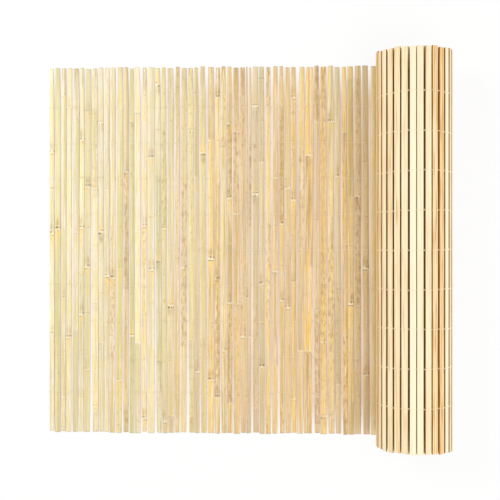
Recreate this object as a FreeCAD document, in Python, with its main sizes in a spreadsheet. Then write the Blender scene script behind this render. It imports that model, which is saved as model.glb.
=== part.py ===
import FreeCAD, Part
import Sketcher
import math
import os
import random

# Bamboo fence panel: a mat of split bamboo slats held by rows of twisted thread.
# It lies on the ground, partly unrolled. The slats run along Y. The mat starts at its free
# edge on the left, runs flat along +X, and is rolled up and back over itself at the right end.
# The arched skin of each slat faces up on the flat run, so the planed faces are outside on the roll.
# Millimetres. The origin is at the middle of the footprint, on the ground.

SIZES = (
    ("slat_length", 1000.0, "longest slats, end to end"),
    ("end_scatter", 5.0, "most that a slat falls short at either end"),
    ("slat_width", 15.65, "ordinary slat of the flat run"),
    ("width_spread", 2.9, "how far an ordinary slat differs from that"),
    ("slim_width", 6.4, "the two slimmest slats"),
    ("broad_width", 22.5, "the broadest slat"),
    ("slat_edge", 3.2, "thickness of a slat at its sides"),
    ("crown_rise", 1.4, "rise of the arched skin above the sides"),
    ("close_gap", 0.7, "gap between slats that all but touch"),
    ("narrow_gap", 2.0, "narrow open gap"),
    ("wide_gap", 3.6, "wide open gap"),
    ("least_gap", 0.4, "what stays open where two slats lean together"),
    ("lean_reach", 2.6, "most that a slat's end stands to one side"),
    ("node_rise", 0.6, "height of the collar at a bamboo node"),
    ("node_length", 5.0, "length of that collar along the slat"),
    ("roll_slat_width", 17.5, "slat of the rolled stretch"),
    ("roll_width_spread", 0.8, "how far such a slat differs from that"),
    ("roll_gap", 2.0, "gap between them at the skin side"),
    ("roll_gap_spread", 1.5, "how far such a gap differs from that"),
    ("web_thickness", 1.0, "wall that joins the rolled slats"),
    ("strand_thickness", 0.9, "thread, seen from its side"),
    ("strand_width", 1.6, "thread, seen from above"),
    ("strand_clearance", 0.2, "between the upper strand and the slats"),
    ("twist_width", 1.2, "where both strands cross in a gap"),
    ("twist_clearance", 0.3, "between such a crossing and the slats"),
    ("binding_margin", 112.0, "from the ends of the slats to the nearest row of thread"),
    ("turn_slack", 1.4, "looseness between two turns of the roll"),
    ("core_radius", 45.0, "hollow in the middle of the roll"),
    ("mat_length", 4000.0, "the whole mat, laid out flat"),
)

BINDING_ROWS = 9
RUN_IN_SLATS = 5
SKIN_SHARE = 0.5  # of a slat's width, for the level middle of its arched skin
NODE_SHARE = 0.6  # of the flat slats, with a node that stands out
SLIM_SLATS = (32, 33)
BROAD_SLATS = (42,)
WIDTH_SEED = 12245
LEAN_SEED = 5
NODE_SEED = 23
ROLL_SEED = 119964

# The gap after each slat of the flat run, from the free edge: close, narrow or wide.
GAP_RHYTHM = "cncwccwcnc wnncwnwcnn wwcnwcncnc cnwcnwwccw cwcnnwcnww".replace(" ", "")

document = FreeCAD.newDocument("bamboo_fence_panel")


def make_sheet():
    sheet = document.addObject("Spreadsheet::Sheet", "Dimensions")
    for row, (alias, value, note) in enumerate(SIZES, start=1):
        sheet.set(f"A{row}", note)
        sheet.set(f"B{row}", str(value))
        sheet.setAlias(f"B{row}", alias)
    document.recompute()
    return sheet


sheet = make_sheet()


def size(alias):
    return float(sheet.get(alias))


slat_thickness = size("slat_edge") + size("crown_rise")
turn_pitch = 2 * size("strand_thickness") + slat_thickness + size("turn_slack")
slat_seat = size("strand_thickness")
binding_reach = size("slat_length") - 2 * size("binding_margin")
binding_places = [
    binding_reach * (row / (BINDING_ROWS - 1) - 1 / 2) for row in range(BINDING_ROWS)
]


def width_rules():
    """Each flat slat's width, as a rule on the sheet and as its value in millimetres."""
    chance = random.Random(WIDTH_SEED)
    rules = []
    for number in range(1, len(GAP_RHYTHM) + 1):
        share = round(chance.uniform(-1, 1), 3)
        if number in SLIM_SLATS:
            rules.append(("Dimensions.slim_width", size("slim_width")))
        elif number in BROAD_SLATS:
            rules.append(("Dimensions.broad_width", size("broad_width")))
        else:
            rule = f"Dimensions.slat_width + Dimensions.width_spread * {share}"
            rules.append((rule, size("slat_width") + size("width_spread") * share))
    return rules


def lay_flat_run():
    """Places the slats side by side from the free edge, each leaning a little."""
    gap_sizes = {"c": size("close_gap"), "n": size("narrow_gap"), "w": size("wide_gap")}
    chance = random.Random(LEAN_SEED)
    slats = []
    edge = 0.0
    lean = 0.0
    for (rule, width), letter in zip(width_rules(), GAP_RHYTHM):
        slats.append({"rule": rule, "width": width, "middle": edge + width / 2, "lean": lean})
        gap = gap_sizes[letter]
        edge += width + gap
        play = max(gap - size("least_gap"), 0)
        wish = chance.uniform(-1, 1) * size("lean_reach")
        lean += max(-play, min(play, wish - lean))
    return slats, edge


flat_slats, run_in_start = lay_flat_run()


def middle_at(slat, place):
    """Where a leaning slat's middle line is, at a distance along Y."""
    return slat["middle"] + slat["lean"] * place / (size("slat_length") / 2)


def draw_roll_slats():
    """Widths and following gaps of the rolled slats, without end."""
    chance = random.Random(ROLL_SEED)
    while True:
        width = size("roll_slat_width") + size("roll_width_spread") * chance.uniform(-1, 1)
        gap = size("roll_gap") + size("roll_gap_spread") * chance.uniform(-1, 1)
        yield width, gap


def lay_roll():
    """Seats of the rolled slats: the middle of the planed face, the way along the mat, the way in."""
    supply = draw_roll_slats()
    seats = []
    edge = run_in_start
    for _ in range(RUN_IN_SLATS):
        width, gap = next(supply)
        middle = FreeCAD.Vector(edge + width / 2, 0, slat_seat)
        seats.append((middle, FreeCAD.Vector(1, 0, 0), FreeCAD.Vector(0, 0, 1), width))
        edge += width + gap
    tangent_line = edge

    rolled_length = size("mat_length") - tangent_line
    end_radius = size("core_radius") + slat_thickness
    radius_at_start = math.sqrt(end_radius**2 + rolled_length * turn_pitch / math.pi)
    axis = FreeCAD.Vector(tangent_line, 0, slat_seat + radius_at_start)
    width, gap = next(supply)
    turned = (width / 2) / radius_at_start
    used = width
    while used < rolled_length:
        corner_radius = radius_at_start - turn_pitch * turned / (2 * math.pi)
        face_radius = math.sqrt(corner_radius**2 - (width / 2) ** 2)
        along = FreeCAD.Vector(math.cos(turned), 0, math.sin(turned))
        inward = FreeCAD.Vector(-math.sin(turned), 0, math.cos(turned))
        seats.append((axis - inward * face_radius, along, inward, width))
        next_width, next_gap = next(supply)
        side_radius = face_radius - size("slat_edge")
        half_angles = math.atan(width / 2 / side_radius) + math.atan(next_width / 2 / side_radius)
        turned += half_angles + gap / side_radius
        used += gap + next_width
        width, gap = next_width, next_gap
    return seats, axis


roll_seats, roll_axis = lay_roll()


def roll_outline():
    """One closed outline: grooved on the planed side, arched on the skin side."""
    groove = size("slat_edge") - size("web_thickness")
    planed_side = []
    skin_side = []
    corners = []
    for middle, along, inward, width in roll_seats:
        near = middle - along * (width / 2)
        far = middle + along * (width / 2)
        planed_side += [near + inward * groove, near, far, far + inward * groove]
        corners.append((near + inward * size("slat_edge"), far + inward * size("slat_edge")))
        crown = middle + inward * slat_thickness
        if len(corners) > 1:
            skin_side.append((corners[-2][1] + corners[-1][0]) * 0.5)
        skin_side.append(crown)
    planed_side = planed_side[1:-1]
    skin_side = [corners[0][0]] + skin_side + [corners[-1][1]]
    return planed_side + skin_side[::-1]


roll_points = roll_outline()
free_edge = -size("twist_clearance") - size("twist_width")
far_edge = max(point.x for point in roll_points)
centre_shift = FreeCAD.Vector(-(free_edge + far_edge) / 2, 0, 0)


def origin_plane(body, role):
    return next(plane for plane in body.Origin.OriginFeatures if plane.Role == role)


def slat_section(body, name, width_rule, width, edge_rule, edge):
    """The cross-section of a split slat: flat underside, upright sides, skin arched in three facets."""
    sketch = body.newObject("Sketcher::SketchObject", name)
    sketch.AttachmentSupport = (origin_plane(body, "XZ_Plane"), [""])
    sketch.MapMode = "FlatFace"
    half = width / 2
    shoulder = half * SKIN_SHARE
    crown = edge + size("crown_rise")
    corners = [
        FreeCAD.Vector(across, height, 0)
        for across, height in (
            (-half, 0), (half, 0), (half, edge), (shoulder, crown), (-shoulder, crown), (-half, edge))
    ]
    for start, end in zip(corners, corners[1:] + corners[:1]):
        sketch.addGeometry(Part.LineSegment(start, end), False)
    bind = Sketcher.Constraint
    sketch.addConstraint([bind("Coincident", line, 2, (line + 1) % 6, 1) for line in range(6)])
    sketch.addConstraint([
        bind("Symmetric", 0, 1, 0, 2, -1, 1),
        bind("Horizontal", 0),
        bind("Vertical", 1),
        bind("Vertical", 5),
        bind("Equal", 1, 5),
        bind("Symmetric", 3, 1, 3, 2, -2),
    ])
    for label, rule, constraint in (
        ("width", width_rule, bind("DistanceX", 0, 1, 0, 2, width)),
        ("skin", f"({width_rule}) * {SKIN_SHARE}", bind("DistanceX", 3, 2, 3, 1, 2 * shoulder)),
        ("edge", edge_rule, bind("DistanceY", 1, 1, 1, 2, edge)),
        ("crown", f"{edge_rule} + Dimensions.crown_rise", bind("DistanceY", -1, 1, 3, 1, crown)),
    ):
        index = sketch.addConstraint(constraint)
        sketch.renameConstraint(index, label)
        sketch.setExpression(f"Constraints.{label}", rule)
    return sketch


def pad_both_ways(body, name, sketch, length_rule):
    pad = body.newObject("PartDesign::Pad", name)
    pad.Profile = sketch
    pad.Midplane = True
    pad.setExpression("Length", length_rule)
    return pad


def make_slat(number, slat, chance):
    """One slat of the flat run, cut a little short at each end, in most cases with a collar at a node."""
    name = f"slat_{number:02d}"
    body = document.addObject("PartDesign::Body", name)
    body.Label = name
    top_share = round(chance.random(), 3)
    foot_share = round(chance.random(), 3)
    spans = BINDING_ROWS - 1
    node_share = round((chance.randrange(spans) + chance.uniform(0.2, 0.8)) / spans - 1 / 2, 4)

    section = slat_section(
        body, f"{name}_section", slat["rule"], slat["width"], "Dimensions.slat_edge", size("slat_edge"))
    cut_short = f"Dimensions.end_scatter * {round(top_share + foot_share, 3)}"
    pad_both_ways(body, f"{name}_length", section, f"Dimensions.slat_length - {cut_short}")

    if chance.random() < NODE_SHARE:
        collar_edge = size("slat_edge") + size("node_rise")
        collar = slat_section(
            body, f"{name}_node", slat["rule"], slat["width"],
            "Dimensions.slat_edge + Dimensions.node_rise", collar_edge)
        reach = "(Dimensions.slat_length - 2 * Dimensions.binding_margin)"
        collar.setExpression("AttachmentOffset.Base.z", f"{reach} * {node_share}")
        pad_both_ways(body, f"{name}_collar", collar, "Dimensions.node_length")

    half_length = size("slat_length") / 2
    end_shift = size("end_scatter") * (foot_share - top_share) / 2
    lean = math.degrees(math.atan(slat["lean"] / half_length))
    place = FreeCAD.Vector(slat["middle"], end_shift, slat_seat) + centre_shift
    body.Placement = FreeCAD.Placement(place, FreeCAD.Rotation(FreeCAD.Vector(0, 0, 1), -lean))
    return body


def make_block(name, corner, **sides):
    """A block with its lowest corner at the point given. Each side is a number or a rule on the sheet."""
    block = document.addObject("Part::Box", name)
    for side, value in sides.items():
        if isinstance(value, str):
            block.setExpression(side, value)
        else:
            setattr(block, side, value)
    block.Placement = FreeCAD.Placement(corner + centre_shift, FreeCAD.Rotation())
    return block


def twist_places(place):
    """X of each crossing of the strands: outside the first slat, then in each gap with room for it."""
    near_sides = [middle_at(slat, place) - slat["width"] / 2 for slat in flat_slats]
    far_sides = [middle_at(slat, place) + slat["width"] / 2 for slat in flat_slats]
    room = size("twist_width") + 2 * size("twist_clearance")
    places = [near_sides[0] + free_edge]
    for start, end in zip(far_sides, near_sides[1:] + [run_in_start]):
        if end - start >= room:
            places.append((start + end - size("twist_width")) / 2)
    return places


def make_binding(number, place):
    """A row of thread: a strand under the slats, one over them, and their crossings in the gaps."""
    name = f"binding_{number}"
    twists = twist_places(place)
    front = place - size("strand_width") / 2
    between = "Dimensions.slat_edge + Dimensions.crown_rise + Dimensions.strand_clearance"
    over = slat_seat + slat_thickness + size("strand_clearance")
    strands = [
        make_block(
            f"{name}_{part}", FreeCAD.Vector(twists[0], front, height),
            Length=roll_axis.x - twists[0], Width="Dimensions.strand_width",
            Height="Dimensions.strand_thickness")
        for part, height in (("under", 0.0), ("over", over))
    ]
    crossings = [
        make_block(
            f"{name}_twist_{index:02d}", FreeCAD.Vector(twist, front, slat_seat),
            Length="Dimensions.twist_width", Width="Dimensions.strand_width", Height=between)
        for index, twist in enumerate(twists, start=1)
    ]
    row = document.addObject("Part::MultiFuse", name)
    row.Shapes = strands + crossings
    row.Refine = True
    row.Label = name
    return row


def make_roll():
    """The rolled stretch and the few flat slats under it, joined edge to edge as one wall."""
    outline = document.addObject("Part::Polygon", "roll_outline")
    outline.Nodes = roll_points
    outline.Close = True
    roll = document.addObject("Part::Extrusion", "roll")
    roll.Base = outline
    roll.DirMode = "Custom"
    roll.Dir = FreeCAD.Vector(0, 1, 0)
    roll.Solid = True
    roll.Symmetric = True
    roll.setExpression("LengthFwd", "Dimensions.slat_length")
    roll.Placement = FreeCAD.Placement(centre_shift, FreeCAD.Rotation())
    roll.Label = "roll"
    return roll


node_chance = random.Random(NODE_SEED)
pieces = [make_slat(number, slat, node_chance) for number, slat in enumerate(flat_slats, start=1)]
pieces += [make_binding(number, place) for number, place in enumerate(binding_places, start=1)]
pieces.append(make_roll())
document.recompute()

for item in document.Objects:
    if "Invalid" in item.State or "Error" in item.State:
        raise RuntimeError(f"{item.Label} did not compute: {item.State}")
for piece in pieces:
    if piece.Shape.isNull() or not piece.Shape.isValid() or len(piece.Shape.Solids) != 1:
        raise RuntimeError(f"{piece.Label} is not one valid solid")

os.makedirs("parts", exist_ok=True)
for piece in pieces:
    piece.Shape.exportStep(f"parts/{piece.Label}.step")
print(f"{len(pieces)} pieces, {len(roll_seats)} slats in the roll")
print(f"roll axis at {roll_axis + centre_shift}, overall {far_edge - free_edge:.1f} mm long")
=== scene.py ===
# %% [markdown]
# # A bamboo fence panel, half unrolled
#
# The panel is a mat. Each slat is a strip split from a bamboo stem: one side still has the
# stem's arched, waxy skin, and the other side is planed flat. Nine rows of clear nylon thread,
# each a pair of strands twisted round one another, hold the slats side by side.
# The free end lies flat with the skin up. The rest is rolled up and over itself, so there the
# planed sides are outside.
#
# The frame holds the measured construction: one solid for each flat slat, one for each row of
# thread and one for the whole roll. It says where things are and how large they are. This file
# gives each of them its real surface, and never moves or resizes them.

# %% Load the frame
import math
import random

import bpy
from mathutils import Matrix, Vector


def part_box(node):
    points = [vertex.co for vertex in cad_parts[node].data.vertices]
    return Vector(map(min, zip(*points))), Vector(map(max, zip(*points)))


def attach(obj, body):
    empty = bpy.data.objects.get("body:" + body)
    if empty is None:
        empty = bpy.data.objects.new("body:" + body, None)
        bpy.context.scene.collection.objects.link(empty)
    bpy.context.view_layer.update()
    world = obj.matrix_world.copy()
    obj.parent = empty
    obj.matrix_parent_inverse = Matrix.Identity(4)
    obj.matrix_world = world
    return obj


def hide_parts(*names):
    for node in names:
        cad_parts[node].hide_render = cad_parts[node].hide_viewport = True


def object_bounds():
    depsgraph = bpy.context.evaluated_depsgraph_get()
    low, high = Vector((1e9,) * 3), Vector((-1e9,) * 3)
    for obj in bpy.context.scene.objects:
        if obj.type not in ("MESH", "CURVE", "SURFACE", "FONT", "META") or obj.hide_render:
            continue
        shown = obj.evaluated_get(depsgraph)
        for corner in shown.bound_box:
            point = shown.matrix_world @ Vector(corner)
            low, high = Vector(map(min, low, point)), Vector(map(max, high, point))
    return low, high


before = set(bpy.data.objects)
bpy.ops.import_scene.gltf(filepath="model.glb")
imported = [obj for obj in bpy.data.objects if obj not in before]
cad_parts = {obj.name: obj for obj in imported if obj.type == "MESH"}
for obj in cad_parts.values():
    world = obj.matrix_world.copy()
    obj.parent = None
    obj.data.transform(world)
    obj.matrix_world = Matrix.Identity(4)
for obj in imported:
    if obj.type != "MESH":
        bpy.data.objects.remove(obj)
cad_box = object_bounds()
BODY = "root"
MM = 0.001
print("the frame measures", [round(high - low, 4) for low, high in zip(*cad_box)])

# %% [markdown]
# ## The measures that slats and roll share
#
# A strip split from a stem has the same section all along: upright sides, and a skin that rises
# to a crown in the middle. These few sizes are the ones that the frame was built from, so they
# are repeated here, in metres. Everything that can be read from the frame is read from it
# further down, because a size that is written twice can drift apart.

# %% Shared measures
STRAND = 0.9 * MM
SEAT = STRAND
EDGE = 3.2 * MM
CROWN = 1.4 * MM
THICKNESS = EDGE + CROWN
LONGEST = 1000 * MM
ROWS_OF_THREAD = 9
FLAT_SLATS = sorted(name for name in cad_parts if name.startswith("slat_"))
print(len(FLAT_SLATS), "flat slats, a slat is", round(THICKNESS / MM, 2), "mm thick")

# %% [markdown]
# ## Helpers for node trees
#
# Shapes and finishes are both made with nodes here. A node tree in a script is a list of small
# sums, so three helpers keep it readable: `feed` gives a socket either a wire or a plain value,
# `calc` is one step of arithmetic, and `place` adds any other node. The same helpers serve
# geometry trees and material trees, because both kinds have the same Math node.

# %% Node helpers
def feed(tree, socket, value):
    """Wires an output to the socket, or sets the socket's own value."""
    if isinstance(value, bpy.types.NodeSocket):
        tree.links.new(value, socket)
    elif value is not None:
        socket.default_value = value


def place(tree, kind, inputs=(), **settings):
    """Adds a node. Inputs are pairs of a socket's name or number and what goes in."""
    node = tree.nodes.new(kind)
    for setting, value in settings.items():
        setattr(node, setting, value)
    for socket, value in inputs:
        feed(tree, node.inputs[socket], value)
    return node


def calc(tree, operation, *values, clamp=False):
    """One step of arithmetic on wires or plain numbers."""
    node = tree.nodes.new("ShaderNodeMath")
    node.operation = operation
    node.use_clamp = clamp
    for socket, value in zip(node.inputs, values):
        feed(tree, socket, value)
    return node.outputs[0]


def bell(tree, distance, reach):
    """A smooth hump: 1 where the distance is nothing, fading to 0 past the reach."""
    share = calc(tree, "DIVIDE", distance, reach)
    return calc(tree, "EXPONENT", calc(tree, "MULTIPLY", calc(tree, "POWER", share, 2), -1))


def spread_noise(tree, vector, detail=2.0, roughness=0.55):
    """Smooth noise with values around one half."""
    return place(tree, "ShaderNodeTexNoise", (
        ("Vector", vector), ("Scale", 1.0), ("Detail", detail), ("Roughness", roughness),
    )).outputs[0]


# %% [markdown]
# A geometry tree has an interface: the named inputs that show up on the modifier. The tree is
# made once and then run on many guide meshes with other numbers. A modifier keeps an input
# under the socket's identifier, not under its name, so `grow` looks that up. It sets the inputs
# before the object is first evaluated, takes the result as a plain mesh, and takes the modifier
# off again. What is left is an ordinary mesh at the origin, with its place in its points.

# %% Geometry tree helpers
def new_geometry_tree(name, inputs):
    """A geometry tree with named inputs. Returns it, its input node and its output node."""
    tree = bpy.data.node_groups.new(name, "GeometryNodeTree")
    tree.interface.new_socket("Geometry", in_out="INPUT", socket_type="NodeSocketGeometry")
    for label, kind in inputs:
        tree.interface.new_socket(label, in_out="INPUT", socket_type=f"NodeSocket{kind}")
    tree.interface.new_socket("Geometry", in_out="OUTPUT", socket_type="NodeSocketGeometry")
    return tree, tree.nodes.new("NodeGroupInput"), tree.nodes.new("NodeGroupOutput")


def named(tree, name):
    """Reads a float attribute of the geometry."""
    return place(tree, "GeometryNodeInputNamedAttribute", (("Name", name),)).outputs[0]


def keep(tree, geometry, name, value):
    """Stores a float on every point under a name that materials can read."""
    return place(tree, "GeometryNodeStoreNamedAttribute", (
        ("Geometry", geometry), ("Name", name), ("Value", value))).outputs[0]


def guide_mesh(name, points, edges=(), **fields):
    """Points, perhaps joined in a line, with one float for each point in every field."""
    mesh = bpy.data.meshes.new(name)
    mesh.from_pydata([tuple(point) for point in points], list(edges), [])
    for field, values in fields.items():
        attribute = mesh.attributes.new(field, "FLOAT", "POINT")
        attribute.data.foreach_set("value", list(values))
    return mesh


def grow(tree, guide, name, **values):
    """Runs the tree on a guide and keeps the result as a plain object."""
    holder = bpy.data.objects.new(f"{name}_guide", guide)
    bpy.context.scene.collection.objects.link(holder)
    modifier = holder.modifiers.new("grow", "NODES")
    modifier.node_group = tree
    for item in tree.interface.items_tree:
        key = item.name.lower().replace(" ", "_")
        if item.in_out == "INPUT" and key in values:
            modifier[item.identifier] = values[key]
    graph = bpy.context.evaluated_depsgraph_get()
    mesh = bpy.data.meshes.new_from_object(holder.evaluated_get(graph))
    holder.modifiers.remove(modifier)
    bpy.data.objects.remove(holder)
    mesh.name = name
    piece = bpy.data.objects.new(name, mesh)
    bpy.context.scene.collection.objects.link(piece)
    return piece


def triangles(piece):
    """How many triangles a piece has."""
    return sum(len(polygon.vertices) - 2 for polygon in piece.data.polygons)


# %% [markdown]
# ## The finish of the skin
#
# Split bamboo is never one colour. Each length between two nodes has its own tone, so the
# colour jumps at a node. Long fibres run through it as fine streaks, green ones in the young
# stems and golden ones in the ripe, and some strips have weathered to grey. The arris where skin
# meets split wood is paler, a node is a dark scar with a pale collar beside it, the skin that
# grew just past a node is the yellowest, and damp leaves brown blotches.
#
# An image could hold all that, but only for one strip. Here the shape carries small numbers with
# it (tone, warmth, stain, distance to the node, place across), and the material turns them into
# colour, so fifty slats share one material and none look alike. Two ramps give the colours of
# pale and of golden skin along the same wave of streaks, and `warmth` mixes them.

# %% Material helpers
def shade(red, green, blue):
    """A colour written as on a paint chart, 0 to 255, in the linear values that nodes use."""
    def linear(channel):
        part = channel / 255
        return part / 12.92 if part <= 0.04045 else ((part + 0.055) / 1.055) ** 2.4
    return (linear(red), linear(green), linear(blue), 1.0)


def new_material(name, **sockets):
    """A material with its tree and its main shader. Constants go on the shader's own sockets."""
    material = bpy.data.materials.new(name)
    material.use_nodes = True
    tree = material.node_tree
    shader = tree.nodes["Principled BSDF"]
    for socket, value in sockets.items():
        shader.inputs[socket.replace("_", " ")].default_value = value
    return material, tree, shader


def told(tree, name):
    """A float that the shape carries under this name."""
    return place(tree, "ShaderNodeAttribute", attribute_name=name).outputs["Fac"]


def stretched(tree, across, along):
    """Object coordinates scaled so that a pattern runs along the slats."""
    where = place(tree, "ShaderNodeTexCoord").outputs["Object"]
    return place(tree, "ShaderNodeMapping", (
        ("Vector", where), ("Scale", (across, along, across)))).outputs[0]


def ramp(tree, factor, *stops):
    """A row of colours at places from 0 to 1."""
    node = place(tree, "ShaderNodeValToRGB", (("Fac", factor),))
    elements = node.color_ramp.elements
    for element, (position, colour) in zip(elements, (stops[0], stops[-1])):
        element.position = position
        element.color = colour
    for position, colour in stops[1:-1]:
        elements.new(position).color = colour
    return node.outputs[0]


def mixed(tree, factor, under, over, kind="MIX"):
    """Lays one colour over another."""
    node = place(tree, "ShaderNodeMix", ((0, factor), (6, under), (7, over)), data_type="RGBA")
    node.blend_type = kind
    return node.outputs[2]


def fade(tree, value, start, end, low=0.0, high=1.0):
    """Turns a value between start and end into one between low and high, and stops there."""
    return place(tree, "ShaderNodeMapRange", (
        ("Value", value), ("From Min", start), ("From Max", end),
        ("To Min", low), ("To Max", high))).outputs[0]


# %% The arched skin
def make_skin_material():
    material, tree, shader = new_material("bamboo_skin", Roughness=0.46)
    tone = told(tree, "tone")
    warmth = told(tree, "warmth")
    fibre = spread_noise(tree, stretched(tree, 1400, 9), detail=3)
    streak = spread_noise(tree, stretched(tree, 240, 4.0), detail=3, roughness=0.75)
    wave = calc(tree, "MULTIPLY_ADD", streak, 2.6, calc(tree, "SUBTRACT", tone, 1.3))
    pale = ramp(
        tree, wave,
        (0.0, shade(208, 203, 152)), (0.14, shade(226, 217, 180)), (0.28, shade(250, 238, 216)),
        (0.42, shade(242, 228, 168)), (0.56, shade(255, 236, 152)), (0.7, shade(255, 250, 234)),
        (0.84, shade(248, 228, 210)), (1.0, shade(228, 218, 158)))
    golden = ramp(
        tree, wave,
        (0.0, shade(200, 166, 102)), (0.14, shade(222, 192, 152)), (0.28, shade(254, 228, 186)),
        (0.42, shade(236, 196, 108)), (0.56, shade(255, 208, 84)), (0.7, shade(255, 240, 210)),
        (0.84, shade(230, 198, 172)), (1.0, shade(216, 174, 92)))
    colour = mixed(tree, warmth, pale, golden)
    colour = mixed(tree, told(tree, "green"), colour, shade(222, 214, 138))
    glow = spread_noise(tree, stretched(tree, 170, 8), detail=2)
    glow = calc(tree, "MULTIPLY", fade(tree, glow, 0.5, 0.66, 0.0, 0.6), warmth)
    colour = mixed(tree, glow, colour, shade(255, 208, 98))
    lobe = spread_noise(tree, stretched(tree, 88, 1.3), detail=1)
    shaded_side = mixed(tree, warmth, shade(208, 196, 152), shade(202, 172, 124))
    colour = mixed(tree, fade(tree, lobe, 0.48, 0.66, 0.0, 0.42), colour, shaded_side)
    from_node = told(tree, "from_node")
    fresh = calc(tree, "ADD", fade(tree, from_node, 6 * MM, 28 * MM, 0.6, 0.0),
                 fade(tree, from_node, 20 * MM, 100 * MM, 0.45, 0.0))
    fresh = calc(tree, "MULTIPLY", fresh, calc(tree, "GREATER_THAN", from_node, 6 * MM))
    fresh = calc(tree, "MULTIPLY", fresh, told(tree, "mark"))
    colour = mixed(tree, fresh, colour, shade(252, 216, 128))
    colour = mixed(tree, told(tree, "grey"), colour, mixed(
        tree, warmth, shade(208, 198, 160), shade(216, 190, 158)))
    lines = fade(tree, fibre, 0.3, 0.7, 0.83, 1.07)
    colour = mixed(tree, 1.0, colour, lines, "MULTIPLY")
    seam = spread_noise(tree, stretched(tree, 620, 5), detail=1)
    seam = calc(tree, "MULTIPLY", fade(tree, seam, 0.55, 0.72), fade(
        tree, warmth, 0.0, 0.8, 0.2, 0.55))
    colour = mixed(tree, seam, colour, mixed(
        tree, warmth, shade(198, 178, 118), shade(184, 138, 74)))
    return material, tree, shader, colour, fibre


SKIN, skin_tree, skin_shader, skin_colour, skin_fibre = make_skin_material()
print("skin material started with", len(skin_tree.nodes), "nodes")


# %% [markdown]
# The scar and its collar are painted by distance. `from_node` is the distance in metres to the
# nearest node, positive towards the tip, and `mark` says how strongly that node shows. A little
# noise added to the distance makes the dark line waver, as the real one does, and a second noise
# breaks it into dashes. Blotches are noise with a threshold, and a high `stain` lowers it.

# %% Scars, collars, stains and cut ends
def finish_skin(tree, shader, colour, fibre):
    mark = told(tree, "mark")
    stain = told(tree, "stain")
    side = calc(tree, "ABSOLUTE", told(tree, "across"))
    ragged = spread_noise(tree, stretched(tree, 420, 160), detail=3)
    waver = calc(tree, "MULTIPLY", calc(tree, "SUBTRACT", ragged, 0.5), 5 * MM)
    distance = calc(tree, "ADD", told(tree, "from_node"), waver)

    chipped = spread_noise(tree, stretched(tree, 230, 14), detail=1)
    bruise = bell(tree, calc(tree, "ADD", distance, 13 * MM), 11 * MM)
    bruise = calc(tree, "MULTIPLY", bruise, calc(tree, "MULTIPLY", mark, fade(
        tree, chipped, 0.42, 0.62, 0.1, 0.8)))
    colour = mixed(tree, bruise, colour, shade(178, 140, 82))
    collar = bell(tree, calc(tree, "SUBTRACT", distance, 5.5 * MM), 4.5 * MM)
    collar = calc(tree, "MULTIPLY", collar, calc(tree, "MULTIPLY", mark, fade(
        tree, chipped, 0.36, 0.58, 1.0, 0.25)))
    colour = mixed(tree, collar, colour, shade(255, 244, 212))

    blot = spread_noise(tree, stretched(tree, 200, 55), detail=4)
    level = fade(tree, stain, 0.0, 1.0, 0.67, 0.42)
    depth = calc(tree, "MULTIPLY", calc(tree, "SUBTRACT", blot, level), 6.0, clamp=True)
    colour = mixed(tree, calc(tree, "MULTIPLY", depth, 0.6), colour, shade(172, 126, 62))
    tip_damp = calc(tree, "MULTIPLY", told(tree, "taper"), fade(tree, stain, 0.1, 0.6, 0.0, 0.9))
    tip_damp = calc(tree, "MULTIPLY", tip_damp, fade(tree, chipped, 0.45, 0.6))
    colour = mixed(tree, tip_damp, colour, shade(182, 142, 92))
    speck = spread_noise(tree, stretched(tree, 640, 220), detail=1)
    speck = calc(tree, "MULTIPLY", fade(tree, speck, 0.68, 0.75), fade(
        tree, stain, 0.0, 0.6, 0.1, 0.8))
    colour = mixed(tree, speck, colour, shade(156, 112, 58))

    for offset, reach, start, end, strength in (
            (0.0, 2.2 * MM, 0.44, 0.54, 1.0), (9 * MM, 1.6 * MM, 0.54, 0.46, 0.8)):
        scar = bell(tree, calc(tree, "SUBTRACT", distance, offset), reach)
        shown = calc(tree, "MULTIPLY", mark, fade(tree, chipped, start, end, 0.0, strength))
        colour = mixed(tree, calc(tree, "MULTIPLY", scar, shown), colour, shade(98, 64, 26))

    arris = fade(tree, side, 0.72, 0.97, 0.0, 0.45)
    colour = mixed(tree, arris, colour, shade(238, 214, 188))
    split_wood = mixed(tree, fibre, shade(216, 178, 138), shade(236, 206, 170))
    colour = mixed(tree, fade(tree, side, 0.98, 0.998), colour, split_wood)
    under_side = mixed(tree, fibre, shade(226, 200, 158), shade(240, 222, 188))
    colour = mixed(tree, fade(tree, told(tree, "skin"), 0.4, 0.1), colour, under_side)
    end = fade(tree, told(tree, "end_gap"), 0.3 * MM, 3.0 * MM, 0.35, 0.0)
    colour = mixed(tree, end, colour, shade(150, 120, 80))

    feed(tree, shader.inputs["Base Color"], colour)
    height = calc(tree, "MULTIPLY_ADD", depth, -0.5, fibre)
    bump = place(tree, "ShaderNodeBump", (
        ("Strength", 0.35), ("Distance", 0.25 * MM), ("Height", height)))
    feed(tree, shader.inputs["Normal"], bump.outputs[0])
    feed(tree, shader.inputs["Roughness"], fade(tree, fibre, 0.3, 0.7, 0.38, 0.56))


finish_skin(skin_tree, skin_shader, skin_colour, skin_fibre)
print("skin material has", len(skin_tree.nodes), "nodes")
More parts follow.
